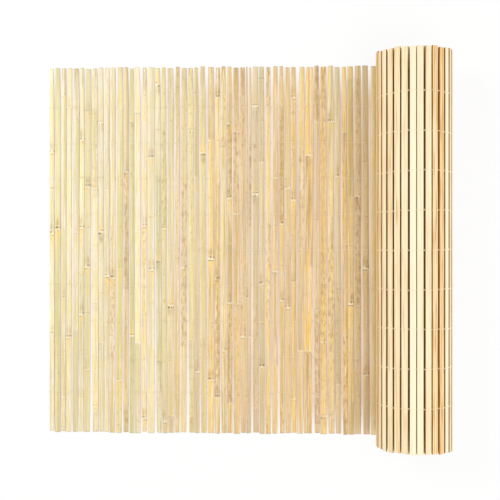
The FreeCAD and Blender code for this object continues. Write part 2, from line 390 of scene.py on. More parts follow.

# %% [markdown]
# ## The finish of the planed side
#
# On the roll the planed side shows. Planing cuts through the paler wood under the skin, so it
# is cream and nearly even, with straight fibre lines as fine as hairs. A few slats are warmer,
# and those have orange grain too, so the strength of the grain follows `tone`. Two things set it
# apart from the skin: it is duller, and its lines are finer and closer.
#
# The sides of a slat were split, not planed, so they are browner, and their dark brown is also
# painted shade. That matters on the roll, where the gaps are deep: what shows in them is the split
# sides and the turn below, and `depth` paints shade on the turns inside everywhere but at their
# ends.

# %% The planed wood
def make_planed_material():
    material, tree, shader = new_material(
        "bamboo_planed", Roughness=0.58, Specular_IOR_Level=0.25)
    fibre = spread_noise(tree, stretched(tree, 2300, 7), detail=3)
    band = spread_noise(tree, stretched(tree, 260, 1.1), detail=1)
    tone = told(tree, "tone")
    wave = calc(tree, "MULTIPLY_ADD", band, 0.9, calc(tree, "SUBTRACT", tone, 0.45))
    colour = ramp(
        tree, wave,
        (0.0, shade(255, 249, 218)), (0.4, shade(255, 242, 204)), (0.7, shade(253, 229, 180)),
        (0.88, shade(251, 214, 152)), (1.0, shade(247, 201, 126)))
    grain = spread_noise(tree, stretched(tree, 640, 3.4), detail=2)
    grain = calc(tree, "MULTIPLY", fade(tree, grain, 0.5, 0.72), fade(
        tree, tone, 0.1, 0.9, 0.2, 0.9))
    colour = mixed(tree, grain, colour, shade(220, 160, 84))
    knotty = spread_noise(tree, stretched(tree, 340, 8), detail=2)
    knotty = calc(tree, "MULTIPLY", fade(tree, knotty, 0.5, 0.66), fade(
        tree, tone, 0.25, 0.8, 0.05, 0.95))
    colour = mixed(tree, knotty, colour, shade(212, 142, 66))
    colour = mixed(tree, 1.0, colour, fade(tree, fibre, 0.3, 0.7, 0.92, 1.03), "MULTIPLY")
    patch = bell(tree, told(tree, "from_node"), 14 * MM)
    patch = calc(tree, "MULTIPLY", patch, calc(tree, "MULTIPLY", told(tree, "mark"), 0.6))
    colour = mixed(tree, patch, colour, shade(236, 188, 120))
    skin = fade(tree, told(tree, "skin"), 0.6, 0.95)
    colour = mixed(tree, skin, colour, mixed(tree, fibre, shade(196, 172, 116), shade(222, 190, 130)))
    # Painted shade: the turns inside the roll are dark brown everywhere but near their ends.
    painted_inner_shade = calc(tree, "MULTIPLY", told(tree, "depth"), fade(
        tree, told(tree, "end_gap"), 4 * MM, 60 * MM, 0.0, 0.9))
    colour = mixed(tree, painted_inner_shade, colour, shade(146, 100, 10))
    # The split sides are partly browner wood and partly painted shade that darkens the roll's gaps.
    side = calc(tree, "ABSOLUTE", told(tree, "across"))
    colour = mixed(tree, fade(tree, side, 0.97, 0.998), colour, shade(140, 92, 8))
    cut = fade(tree, told(tree, "end_gap"), 0.2 * MM, 1.6 * MM, 0.3, 0.0)
    colour = mixed(tree, cut, colour, shade(206, 168, 112))
    feed(tree, shader.inputs["Base Color"], colour)
    bump = place(tree, "ShaderNodeBump", (
        ("Strength", 0.3), ("Distance", 0.15 * MM), ("Height", fibre)))
    feed(tree, shader.inputs["Normal"], bump.outputs[0])
    feed(tree, shader.inputs["Roughness"], fade(tree, fibre, 0.3, 0.7, 0.5, 0.66))
    return material


PLANED = make_planed_material()
print("planed material has", len(PLANED.node_tree.nodes), "nodes")

# %% [markdown]
# ## The finish of the thread
#
# The thread is clear nylon that has gone milky and taken on the tone of the wood. It is thinner
# than a matchstick. At that size real transmission only looks grey, so the thread is pale and
# lets a little light in under its surface instead. It shines, and its two strands have a fine
# twist of their own that catches the light in short dashes.
#
# Wound tightly on the roll, the strands swell where they cross and bulge between the slats. The
# two girths below say how much thicker they are on the roll and at a crossing.

# %% The nylon
ROLL_GIRTH = 1.3
KNOT_GIRTH = 2.5


def make_thread_material():
    material, tree, shader = new_material(
        "milky_nylon", Roughness=0.3, Subsurface_Weight=0.3, Subsurface_Scale=0.002)
    ply = place(tree, "ShaderNodeTexWave", (
        ("Vector", stretched(tree, 900, 1500)), ("Scale", 0.35), ("Distortion", 1.5)),
        bands_direction="DIAGONAL").outputs["Fac"]
    on_roll = fade(tree, told(tree, "girth"), 1.0, ROLL_GIRTH)
    fallen = mixed(tree, ply, shade(236, 220, 188), shade(250, 238, 214))
    colour = mixed(tree, on_roll, fallen, mixed(
        tree, ply, shade(240, 206, 164), shade(254, 230, 198)))
    feed(tree, shader.inputs["Base Color"], colour)
    bump = place(tree, "ShaderNodeBump", (
        ("Strength", 0.4), ("Distance", 0.1 * MM), ("Height", ply)))
    feed(tree, shader.inputs["Normal"], bump.outputs[0])
    return material


NYLON = make_thread_material()
print("thread material has", len(NYLON.node_tree.nodes), "nodes")

# %% [markdown]
# ## Reading the flat slats from the frame
#
# No two flat slats are alike: widths, gaps and leans all differ, and three in five have a
# collar at a node. A second list of all that would be long, and wrong as soon as the frame
# changed. So each slat is measured from its own solid: its lowest points give both ends and
# the width, and the points above the crown are the collar.

# %% Measure the flat slats
def measure_slat(name):
    """Ends, width and collar of a flat slat. Each end is the middle of the slat there."""
    points = [vertex.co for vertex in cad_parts[name].data.vertices]
    ends = []
    for pick in (min, max):
        limit = pick(point.y for point in points)
        corner_x = [point.x for point in points if abs(point.y - limit) < 0.5 * MM]
        ends.append(Vector(((min(corner_x) + max(corner_x)) / 2, limit)))
        width = max(corner_x) - min(corner_x)
    crown = SEAT + THICKNESS + 0.1 * MM
    collar_y = [point.y for point in points if point.z > crown]
    collar = sum(collar_y) / len(collar_y) if collar_y else None
    return {"foot": ends[0], "tip": ends[1], "width": width, "collar": collar}


flat_slats = [measure_slat(name) for name in FLAT_SLATS]
collars = sum(slat["collar"] is not None for slat in flat_slats)
print("widths", round(min(slat["width"] for slat in flat_slats) / MM, 1), "to",
      round(max(slat["width"] for slat in flat_slats) / MM, 1), "mm,", collars, "collars")

# %% [markdown]
# ## A slat as a bent blank
#
# A slat follows a rule, so a geometry tree makes it. The tree takes a spine, which is a row of
# points with facts on them, and a blank, which is a box cut into rows and columns. Row by row
# it moves the blank onto the spine. The columns crowd towards the sides, where the skin turns
# down quickly. Sweeping a section along a curve would be shorter, but then the section could
# not change at a node or pull in along the slat.
#
# A blank's rows are only as close as its spine's points. So the spine gets points every few
# centimetres, and a cluster at each node, and no faces are wasted between. The mat maker lays
# stems either way up, so each spine also draws its own direction of growth. Most slats are
# slimmer at the tip than at the foot, because a stem tapers, and `taper` tells the tree where.

# %% The spine of a flat slat
SPINE_STEP = 26 * MM
NODE_STEPS = (-14, -9, -6, -4, -2.5, -1.2, 0, 1.2, 2.5, 4, 6, 9, 14)
INTERNODE = (200 * MM, 330 * MM)
SPINE_FIELDS = ("from_node", "mark", "tone", "warmth", "stain", "grey", "green", "end_gap",
                "taper")
END_MARGIN = 25 * MM
TAPER_REACH = 115 * MM
FOOT_TAPER = 0.3
FOOT_WARMTH = 0.3
CUT_ROW = 2 * MM
NODE_BLEND = 10 * MM


def find_nodes(slat, chance):
    """Places and strengths of the nodes on a slat. Only the one with the collar is strong."""
    first = slat["collar"]
    strength = chance.uniform(0.35, 1.0)
    if first is None:
        first = chance.uniform(slat["foot"].y + END_MARGIN, slat["tip"].y - END_MARGIN)
        strength = chance.uniform(0.1, 0.3)
    nodes = [(first, strength)]
    for direction, limit in ((-1, slat["foot"].y), (1, slat["tip"].y)):
        spot = first
        while True:
            spot += direction * chance.uniform(*INTERNODE)
            if direction * (limit - spot) < END_MARGIN:
                break
            nodes.append((spot, chance.choice((0.06, 0.12, 0.3, 0.65))))
    return sorted(nodes)


def spine_places(foot, tip, nodes):
    """Distances along Y where the spine has points."""
    count = round((tip - foot) / SPINE_STEP)
    places = [foot + (tip - foot) * step / count for step in range(count + 1)]
    reach = NODE_STEPS[-1] * MM
    places = [y for y in places if all(abs(y - node) > reach for node, _ in nodes)]
    places += [node + step * MM for node, _ in nodes for step in NODE_STEPS]
    inner = [y for y in places if foot + 2 * CUT_ROW < y < tip - 2 * CUT_ROW]
    return sorted([foot, foot + CUT_ROW, *inner, tip - CUT_ROW, tip])


def across_nodes(values, nodes, y):
    """The value of the internode at this place, with a short blend at each node."""
    result = values[0]
    for value, (node, _) in zip(values[1:], nodes):
        passed = max(0.0, min(1.0, (y - node) / NODE_BLEND + 0.5))
        result += (value - result) * passed
    return result


green_luck = random.Random(6)


def make_spine(name, slat, warmth, chance):
    """The guide of one slat, from its foot to its tip."""
    foot, tip = slat["foot"], slat["tip"]
    nodes = find_nodes(slat, chance)
    way_up = chance.choice((-1, 1))
    grey = chance.choice((0.0, 0.0, 0.08, 0.25, 0.5))
    green = (1 - 0.5 * warmth) * green_luck.choice((0.0, 0.0, 0.1, 0.4))
    base_tone = chance.uniform(0.0, 1.0)
    tones = [max(0.0, min(1.0, base_tone + chance.uniform(-0.3, 0.3)))
             for _ in range(len(nodes) + 1)]
    stains = [max(0.0, chance.uniform(-0.6, 0.5)) + warmth * chance.choice((0, 0.1, 0.3, 0.8))
              for _ in tones]
    fields = {field: [] for field in SPINE_FIELDS}
    points = []
    for y in spine_places(foot.y, tip.y, nodes):
        share = (y - foot.y) / (tip.y - foot.y)
        points.append(foot.lerp(tip, share).to_3d())
        near, mark = min(nodes, key=lambda node: abs(node[0] - y))
        taper = max(0.0, 1 - (tip.y - y) / TAPER_REACH) ** 1.2
        taper += FOOT_TAPER * max(0.0, 1 - (y - foot.y) / TAPER_REACH) ** 1.2
        riper = max(0.0, min(1.0, warmth + FOOT_WARMTH * (0.5 - share)))
        for field, value in zip(SPINE_FIELDS, (
                way_up * (y - near), mark, across_nodes(tones, nodes, y), riper,
                across_nodes(stains, nodes, y), grey, green, min(y - foot.y, tip.y - y), taper)):
            fields[field].append(value)
    edges = [(index, index + 1) for index in range(len(points) - 1)]
    return guide_mesh(f"{name}_spine", points, edges, **fields)


# %% The tree that bends a blank onto a spine
def make_slat_tree():
    tree, given, result = new_geometry_tree("split_slat", (
        ("Width", "Float"), ("Edge", "Float"), ("Crown", "Float"), ("Seat", "Float"),
        ("Columns", "Int"), ("Node Rise", "Float"), ("Pull In", "Float"),
        ("Taper", "Float"), ("Ragged End", "Float"), ("Seed", "Float"),
        ("Material", "Material")))
    spine = given.outputs["Geometry"]
    rows = place(tree, "GeometryNodeAttributeDomainSize", (("Geometry", spine),)).outputs[0]
    last_row = calc(tree, "SUBTRACT", rows, 1)
    blank = place(tree, "GeometryNodeMeshCube", (
        ("Size", (2, 2, 2)), ("Vertices X", given.outputs["Columns"]),
        ("Vertices Y", rows), ("Vertices Z", 2))).outputs["Mesh"]
    box = place(tree, "ShaderNodeSeparateXYZ", (
        (0, place(tree, "GeometryNodeInputPosition").outputs[0]),)).outputs
    across = calc(tree, "SINE", calc(tree, "MULTIPLY", box[0], math.pi / 2))
    row = calc(tree, "MULTIPLY", calc(tree, "MULTIPLY_ADD", box[1], 0.5, 0.5), last_row)
    row_number = place(tree, "FunctionNodeFloatToInt", ((0, row),)).outputs[0]
    skin = calc(tree, "MULTIPLY_ADD", box[2], 0.5, 0.5)

    def at_row(value, data_type="FLOAT"):
        return place(tree, "GeometryNodeSampleIndex", (
            (0, spine), (1, value), ("Index", row_number)), data_type=data_type).outputs[0]

    facts = {field: at_row(named(tree, field)) for field in SPINE_FIELDS}
    middle = place(tree, "ShaderNodeSeparateXYZ", ((0, at_row(
        place(tree, "GeometryNodeInputPosition").outputs[0], "FLOAT_VECTOR")),)).outputs

    side = calc(tree, "SIGN", across)
    drift = place(tree, "ShaderNodeCombineXYZ", (
        (0, calc(tree, "MULTIPLY_ADD", side, 3.7, given.outputs["Seed"])),
        (1, calc(tree, "MULTIPLY", middle[1], 9.0)))).outputs[0]
    at_node = bell(tree, facts["from_node"], 12 * MM)
    pull = fade(tree, spread_noise(tree, drift), 0.42, 0.75)
    pull = calc(tree, "MULTIPLY", pull, calc(tree, "SUBTRACT", 1, at_node))
    pull = calc(tree, "MULTIPLY", pull, given.outputs["Pull In"])
    side_luck = place(tree, "ShaderNodeTexWhiteNoise", (
        ("W", calc(tree, "MULTIPLY_ADD", side, 5.3, given.outputs["Seed"])),),
        noise_dimensions="1D").outputs["Value"]
    slim = calc(tree, "MULTIPLY", facts["taper"], calc(tree, "MULTIPLY", side_luck, given.outputs["Taper"]))
    half = calc(tree, "SUBTRACT", calc(tree, "MULTIPLY", given.outputs["Width"], 0.5),
                calc(tree, "ADD", pull, slim))
    x = calc(tree, "MULTIPLY_ADD", across, half, middle[0])

    ragged = place(tree, "ShaderNodeCombineXYZ", (
        (0, calc(tree, "MULTIPLY", across, 2.2)), (1, given.outputs["Seed"]),
        (2, calc(tree, "SIGN", middle[1])))).outputs[0]
    at_end = bell(tree, facts["end_gap"], 0.5 * MM)
    cut = calc(tree, "MULTIPLY", spread_noise(tree, ragged, detail=3),
               calc(tree, "MULTIPLY", at_end, given.outputs["Ragged End"]))
    y = calc(tree, "SUBTRACT", middle[1], calc(tree, "MULTIPLY", cut, calc(tree, "SIGN", middle[1])))

    arch = calc(tree, "SUBTRACT", 1, calc(
        tree, "POWER", calc(tree, "ABSOLUTE", across), 2.4))
    ridge = bell(tree, facts["from_node"], 3.2 * MM)
    groove = bell(tree, calc(tree, "ADD", facts["from_node"], 6 * MM), 2.0 * MM)
    swell = calc(tree, "MULTIPLY", calc(tree, "MULTIPLY_ADD", groove, -0.45, ridge), facts["mark"])
    top = calc(tree, "MULTIPLY_ADD", arch, given.outputs["Crown"], given.outputs["Edge"])
    top = calc(tree, "MULTIPLY_ADD", swell, given.outputs["Node Rise"], top)
    z = calc(tree, "MULTIPLY_ADD", skin, top, given.outputs["Seat"])

    shape = keep(tree, blank, "across", across)
    shape = keep(tree, shape, "skin", skin)
    for field, value in facts.items():
        shape = keep(tree, shape, field, value)
    bent = place(tree, "GeometryNodeSetPosition", (
        ("Geometry", shape),
        ("Position", place(tree, "ShaderNodeCombineXYZ", ((0, x), (1, y), (2, z))).outputs[0])))
    is_skin = calc(tree, "GREATER_THAN", named(tree, "skin"), 0.9)
    smooth = place(tree, "GeometryNodeSetShadeSmooth", (
        ("Geometry", bent.outputs[0]), ("Selection", is_skin)))
    real = place(tree, "GeometryNodeRealizeInstances", ((0, smooth.outputs[0]),))
    dressed = place(tree, "GeometryNodeSetMaterial", (
        ("Geometry", real.outputs[0]), ("Material", given.outputs["Material"])))
    tree.links.new(dressed.outputs[0], result.inputs[0])
    return tree


SLAT_TREE = make_slat_tree()
print("slat tree has", len(SLAT_TREE.nodes), "nodes")

# %% [markdown]
# ## The fifty flat slats
#
# Every slat is its own piece. In the photograph the left third is paler and greener and the
# right side more golden, so `warmth` grows from left to right, with some luck for each slat, and
# falls again a little towards the roll. A third of the way along it dips once more, for a strip
# of pale slats that stands out in the photograph. One seeded source of chance serves all of them in order,
# so that each run gives the same mat.

# %% Grow the flat slats
PALE_STRIP = 0.34
PALE_REACH = 0.075
chance = random.Random(41)
left_end = cad_box[0][0]
flat_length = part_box(FLAT_SLATS[-1])[1].x - left_end
slat_pieces = []
for name, slat in zip(FLAT_SLATS, flat_slats):
    along = (slat["foot"].x - left_end) / flat_length
    pale_strip = math.exp(-((along - PALE_STRIP) / PALE_REACH) ** 2)
    ripeness = 1.2 * along - 0.05 - 1.4 * max(0.0, along - 0.75) - 0.28 * pale_strip
    warmth = max(0.0, min(1.0, ripeness + chance.uniform(-0.3, 0.3)))
    piece = grow(
        SLAT_TREE, make_spine(name, slat, warmth, chance), f"bamboo_{name}",
        width=slat["width"], edge=EDGE, crown=CROWN, seat=SEAT, columns=8,
        node_rise=0.6 * MM, pull_in=min(1.1 * MM, 0.08 * slat["width"]),
        taper=min(2.4 * MM, 0.17 * slat["width"]), ragged_end=1.6 * MM,
        seed=chance.uniform(0, 90), material=SKIN)
    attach(piece, BODY)
    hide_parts(name)
    slat_pieces.append(piece)
print("flat slats:", sum(triangles(piece) for piece in slat_pieces), "triangles")

# %% [markdown]
# ## Where the rolled slats sit
#
# The roll is a spiral of some 155 slats. A slat is stiff, so each lies flat on the spiral with
# its planed side out, and the next one starts after a small gap at an angle. Walking along the
# mat, the radius shrinks by one pitch for each turn: a slat's thickness, two strands of thread
# and a little slack. The walk below is the same as in the construction, with the same seed, so
# every slat lands inside the solid roll that it replaces.

# %% Walk along the spiral
ROLL_SEED = 119964
RUN_IN = 5
SLAT_WIDTH = (17.5 * MM, 0.8 * MM)
SLAT_GAP = (2.0 * MM, 1.5 * MM)
TURN_PITCH = 2 * STRAND + THICKNESS + 1.4 * MM
CORE_RADIUS = 45 * MM
MAT_LENGTH = 4000 * MM


def rolled_sizes():
    """Widths and following gaps, without end."""
    luck = random.Random(ROLL_SEED)
    while True:
        width = SLAT_WIDTH[0] + SLAT_WIDTH[1] * luck.uniform(-1, 1)
        gap = SLAT_GAP[0] + SLAT_GAP[1] * luck.uniform(-1, 1)
        yield width, gap


def walk_roll(start):
    """Seats of the rolled slats: middle of the planed face, angle turned, width."""
    supply = rolled_sizes()
    seats = []
    edge = start
    for _ in range(RUN_IN):
        width, gap = next(supply)
        seats.append((Vector((edge + width / 2, 0, SEAT)), 0.0, width))
        edge += width + gap
    rolled_length = MAT_LENGTH - (edge - first_edge)
    end_radius = CORE_RADIUS + THICKNESS
    start_radius = math.sqrt(end_radius**2 + rolled_length * TURN_PITCH / math.pi)
    axis = Vector((edge, 0, SEAT + start_radius))
    width, gap = next(supply)
    turned = (width / 2) / start_radius
    used = width
    while used < rolled_length:
        corner_radius = start_radius - TURN_PITCH * turned / (2 * math.pi)
        face_radius = math.sqrt(corner_radius**2 - (width / 2) ** 2)
        inward = Vector((-math.sin(turned), 0, math.cos(turned)))
        seats.append((axis - inward * face_radius, turned, width))
        next_width, next_gap = next(supply)
        side_radius = face_radius - EDGE
        half_angles = math.atan(width / 2 / side_radius) + math.atan(next_width / 2 / side_radius)
        turned += half_angles + gap / side_radius
        used += gap + next_width
        width, gap = next_width, next_gap
    return seats, axis


last_flat = flat_slats[-1]
last_gap = 3.6 * MM
first_edge = flat_slats[0]["foot"].x - flat_slats[0]["width"] / 2
run_in_start = (last_flat["foot"].x + last_flat["tip"].x + last_flat["width"]) / 2 + last_gap
rolled_seats, roll_axis = walk_roll(run_in_start)
print(len(rolled_seats), "slats in the roll, axis at", [round(c, 4) for c in roll_axis])

# %% [markdown]
# ## The rolled slats
#
# This is what instances are for. One blank slat is made once, and the tree sets it on each seat
# with a turn about Y and a width of its own. The blank has few faces, because it comes back 160
# times. A gap of two millimetres that is truly open does more for the look than any painted
# line: light falls into it and it goes dark, helped by painted shade on the split sides and on the
# turns below. After the instances are made real, a slow noise pulls the sides in a little, so
# that the gaps vary along the roll.

# %% The tree that seats the rolled slats
def make_roll_tree():
    tree, given, result = new_geometry_tree("rolled_slats", (
        ("Length", "Float"), ("Edge", "Float"), ("Crown", "Float"), ("Columns", "Int"),
        ("Rows", "Int"), ("Pull In", "Float"), ("Seed", "Float"), ("Material", "Material")))
    blank = place(tree, "GeometryNodeMeshCube", (
        ("Size", (2, 2, 2)), ("Vertices X", given.outputs["Columns"]),
        ("Vertices Y", given.outputs["Rows"]), ("Vertices Z", 2))).outputs["Mesh"]
    box = place(tree, "ShaderNodeSeparateXYZ", (
        (0, place(tree, "GeometryNodeInputPosition").outputs[0]),)).outputs
    along = calc(tree, "SINE", calc(tree, "MULTIPLY", box[1], math.pi / 2))
    skin = calc(tree, "MULTIPLY_ADD", box[2], 0.5, 0.5)
    shape = keep(tree, blank, "across", box[0])
    shape = keep(tree, shape, "skin", skin)
    shape = keep(tree, shape, "end_gap", calc(
        tree, "MULTIPLY", calc(tree, "SUBTRACT", 1, calc(tree, "ABSOLUTE", along)), LONGEST / 2))
    arch = calc(tree, "SUBTRACT", 1, calc(tree, "POWER", calc(tree, "ABSOLUTE", box[0]), 2.0))
    top = calc(tree, "MULTIPLY_ADD", arch, given.outputs["Crown"], given.outputs["Edge"])
    corner = place(tree, "ShaderNodeCombineXYZ", (
        (0, calc(tree, "MULTIPLY", box[0], 0.5)),
        (1, calc(tree, "MULTIPLY", along, calc(tree, "MULTIPLY", given.outputs["Length"], 0.5))),
        (2, calc(tree, "MULTIPLY", skin, top)))).outputs[0]
    slat = place(tree, "GeometryNodeSetPosition", (("Geometry", shape), ("Position", corner)))

    turn = place(tree, "ShaderNodeCombineXYZ", (
        (1, calc(tree, "MULTIPLY", named(tree, "turned"), -1)),)).outputs[0]
    sizes = place(tree, "ShaderNodeCombineXYZ", (
        (0, named(tree, "width")), (1, named(tree, "length_share")), (2, 1.0))).outputs[0]
    seated = place(tree, "GeometryNodeInstanceOnPoints", (
        ("Points", given.outputs["Geometry"]), ("Instance", slat.outputs[0]),
        ("Rotation", turn), ("Scale", sizes)))
    real = place(tree, "GeometryNodeRealizeInstances", ((0, seated.outputs[0]),))

    place_y = place(tree, "ShaderNodeSeparateXYZ", (
        (0, place(tree, "GeometryNodeInputPosition").outputs[0]),)).outputs[1]
    side = calc(tree, "SIGN", named(tree, "across"))
    drift = place(tree, "ShaderNodeCombineXYZ", (
        (0, calc(tree, "MULTIPLY_ADD", named(tree, "tone"), 70.0, given.outputs["Seed"])),
        (1, calc(tree, "MULTIPLY", place_y, 1.6)), (2, calc(tree, "MULTIPLY", side, 3)))).outputs[0]
    own_pull = fade(tree, named(tree, "across"), -1.0, 1.0, named(tree, "pull_low"),
                    named(tree, "pull_high"))
    pull = calc(tree, "MULTIPLY_ADD", spread_noise(tree, drift, detail=1),
                given.outputs["Pull In"], own_pull)
    pull = calc(tree, "MULTIPLY", pull, calc(tree, "MULTIPLY", named(tree, "across"), -1))
    turned = named(tree, "turned")
    offset = place(tree, "ShaderNodeCombineXYZ", (
        (0, calc(tree, "MULTIPLY", pull, calc(tree, "COSINE", turned))),
        (2, calc(tree, "MULTIPLY", pull, calc(tree, "SINE", turned))))).outputs[0]
    pulled = place(tree, "GeometryNodeSetPosition", (
        ("Geometry", real.outputs[0]), ("Offset", offset)))
    is_skin = calc(tree, "GREATER_THAN", named(tree, "skin"), 0.9)
    smooth = place(tree, "GeometryNodeSetShadeSmooth", (
        ("Geometry", pulled.outputs[0]), ("Selection", is_skin)))
    dressed = place(tree, "GeometryNodeSetMaterial", (
        ("Geometry", smooth.outputs[0]), ("Material", given.outputs["Material"])))
    tree.links.new(dressed.outputs[0], result.inputs[0])
    return tree


ROLL_TREE = make_roll_tree()
print("roll tree has", len(ROLL_TREE.nodes), "nodes")

# %% [markdown]
# The outer turn is what everybody sees, so it is a piece of its own, with more rows and columns.
# The turns inside share a lighter blank, and the five flat slats that the roll rests on are the
# third piece. Each slat falls a little short at both ends, always inwards, because the frame's
# roll is as long as the longest slat.

# %% Seat the rolled slats
OPENED = 1.2 * MM


def seats_guide(name, seats, luck, depth):
    """Points with the facts that the roll tree needs."""
    fields = {field: [] for field in (
        "turned", "width", "length_share", "tone", "pull_low", "pull_high", "warmth", "stain",
        "mark", "from_node", "depth")}
    points = []
    for middle, turned, width in seats:
        proud = (1 - depth) * 6 * MM * abs(math.sin(turned)) ** 6
        foot_cut = luck.uniform(0, 4 * MM) - proud
        tip_cut = luck.uniform(0, 4 * MM) - proud
        points.append(middle + Vector((0, (foot_cut - tip_cut) / 2, 0)))
        for field, value in zip(fields, (
                turned, width, 1 - (foot_cut + tip_cut) / LONGEST, 0.1 + 0.8 * luck.random(),
                OPENED * luck.random(), OPENED * luck.random(), 0.35, 0.1, 0.0, 1.0, depth)):
            fields[field].append(value)
    return guide_mesh(f"{name}_seats", points, **fields)


outer_end = next(index for index, seat in enumerate(rolled_seats) if seat[1] > 2 * math.pi)
roll_luck = random.Random(2446)
roll_pieces = []
for name, seats, columns, rows, depth, material in (
        ("roll_outer_turn", rolled_seats[RUN_IN:outer_end], 6, 24, 0.0, PLANED),
        ("roll_inner_turns", rolled_seats[outer_end:], 4, 8, 1.0, PLANED),
        ("roll_run_in", rolled_seats[:RUN_IN], 6, 24, 0.0, SKIN)):
    piece = grow(
        ROLL_TREE, seats_guide(name, seats, roll_luck, depth), name, length=LONGEST, edge=EDGE,
        crown=CROWN, columns=columns, rows=rows, pull_in=0.5 * MM, seed=3.0,
        material=material)
    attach(piece, BODY)
    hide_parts("roll")
    roll_pieces.append(piece)
    print(name, len(seats), "slats,", triangles(piece), "triangles")

# %% [markdown]
# ## The rows of thread
#
# Two strands pass each slat, one over and one under, and change places in the next gap, so they
# wind round each other like a rope with slats in it. That is a rule along a path: the guide runs
# through the middle of the mat's thickness, and at each of its points it knows which way is out,
# how far the strands are apart there (`rise`, from -1 to 1) and how far they swing sideways.
# The tree runs twice on the same guide, once with each sign, and that gives both strands.
#
# Where two slats lie so close that no thread fits between, the pair goes over both of them.

# %% The guide of a row
THREAD_RADIUS = 0.38 * MM
CROSSING_ROOM = 1.8 * MM
TAIL = 0.9 * MM
CROSSING_LIFT = 1.1 * MM


def slat_spans(row_y):
    """For each slat on the way along the mat: near side, far side and outward direction."""
    spans = []
    for slat in flat_slats:
        share = (row_y - slat["foot"].y) / (slat["tip"].y - slat["foot"].y)
        middle = slat["foot"].lerp(slat["tip"], share)
        centre = Vector((middle.x, 0, SEAT + THICKNESS / 2))
        half = Vector((slat["width"] / 2, 0, 0))
        spans.append((centre - half, centre + half, Vector((0, 0, -1))))
    for seat, turned, width in rolled_seats:
        along = Vector((math.cos(turned), 0, math.sin(turned)))
        outward = Vector((math.sin(turned), 0, -math.cos(turned)))
        centre = seat - outward * (THICKNESS / 2)
        spans.append((centre - along * (width / 2), centre + along * (width / 2), outward))
    return spans


def row_guide(name, row_y, luck):
    """The way of a row of thread, from the free edge to the end inside the roll."""
    spans = slat_spans(row_y)
    start, start_out = spans[0][0], spans[0][2]
    marks = [(start - Vector((TAIL, 0, 0)), start_out, 0.0, 0.0)]
    sign = 1.0
    group = []
    for index, (near, far, outward) in enumerate(spans):
        group += [(near, outward), ((near + far) / 2, outward), (far, outward)]
        following = spans[index + 1] if index + 1 < len(spans) else None
        if following and (following[0] - far).length < CROSSING_ROOM:
            continue
        for step, (point, out) in enumerate(group):
            swing = 2 * (step + 1) / (len(group) + 1) - 1
            marks.append((point, out, sign, sign * swing))
        if following:
            marks.append(((far + following[0]) / 2, (outward + following[2]) / 2, 0.0, sign))
        sign = -sign
        group = []
    points = []
    fields = {field: [] for field in ("out_x", "out_z", "rise", "swing", "lift", "girth")}
    phase = luck.uniform(0, 7)
    for step, (point, out, rise, swing) in enumerate(marks):
        wander = 1.1 * MM * math.sin(step * 0.11 + phase) + 0.5 * MM * math.sin(step * 0.53)
        points.append(point + Vector((0, row_y + wander, 0)))
        lift = CROSSING_LIFT if rise == 0 and point.x > run_in_start else 0.0
        girth = 1.0 if point.x < run_in_start else ROLL_GIRTH * (KNOT_GIRTH if rise == 0 else 1.0)
        for field, value in zip(fields, (out.x, out.z, rise, swing, lift, girth)):
            fields[field].append(value)
    edges = [(index, index + 1) for index in range(len(points) - 1)]
    return guide_mesh(f"{name}_guide", points, edges, **fields)


# %% The tree that twists two strands along a guide
def make_thread_tree():
    tree, given, result = new_geometry_tree("twisted_thread", (
        ("Strand Radius", "Float"), ("Outer Rise", "Float"), ("Inner Rise", "Float"),
        ("Swing", "Float"), ("Sides", "Int"), ("Material", "Material")))
    outward = place(tree, "ShaderNodeCombineXYZ", (
        (0, named(tree, "out_x")), (2, named(tree, "out_z")))).outputs[0]
    section = place(tree, "GeometryNodeCurvePrimitiveCircle", (
        ("Resolution", given.outputs["Sides"]), ("Radius", given.outputs["Strand Radius"])))
    joined = place(tree, "GeometryNodeJoinGeometry")
    for sign in (1.0, -1.0):
        rise = calc(tree, "MULTIPLY", named(tree, "rise"), sign)
        outer = calc(tree, "MULTIPLY", calc(tree, "MAXIMUM", rise, 0), given.outputs["Outer Rise"])
        inner = calc(tree, "MULTIPLY", calc(tree, "MINIMUM", rise, 0), given.outputs["Inner Rise"])
        lift = place(tree, "ShaderNodeVectorMath", (
            (0, outward), ("Scale", calc(tree, "ADD", named(tree, "lift"), calc(
                tree, "ADD", outer, inner)))), operation="SCALE")
        swing = calc(tree, "MULTIPLY", named(tree, "swing"), given.outputs["Swing"])
        sideways = place(tree, "ShaderNodeCombineXYZ", (
            (1, calc(tree, "MULTIPLY", swing, sign)),))
        offset = place(tree, "ShaderNodeVectorMath", (
            (0, lift.outputs[0]), (1, sideways.outputs[0])), operation="ADD")
        moved = place(tree, "GeometryNodeSetPosition", (
            ("Geometry", given.outputs["Geometry"]), ("Offset", offset.outputs[0])))
        line = place(tree, "GeometryNodeMeshToCurve", ((0, moved.outputs[0]),))
        tube = place(tree, "GeometryNodeCurveToMesh", (
            ("Curve", line.outputs[0]), ("Profile Curve", section.outputs[0]),
            ("Scale", named(tree, "girth")), ("Fill Caps", True)))
        tree.links.new(tube.outputs[0], joined.inputs[0])
    smooth = place(tree, "GeometryNodeSetShadeSmooth", ((0, joined.outputs[0]),))
    real = place(tree, "GeometryNodeRealizeInstances", ((0, smooth.outputs[0]),))
    dressed = place(tree, "GeometryNodeSetMaterial", (
        ("Geometry", real.outputs[0]), ("Material", given.outputs["Material"])))
    tree.links.new(dressed.outputs[0], result.inputs[0])
    return tree


THREAD_TREE = make_thread_tree()
print("thread tree has", len(THREAD_TREE.nodes), "nodes")

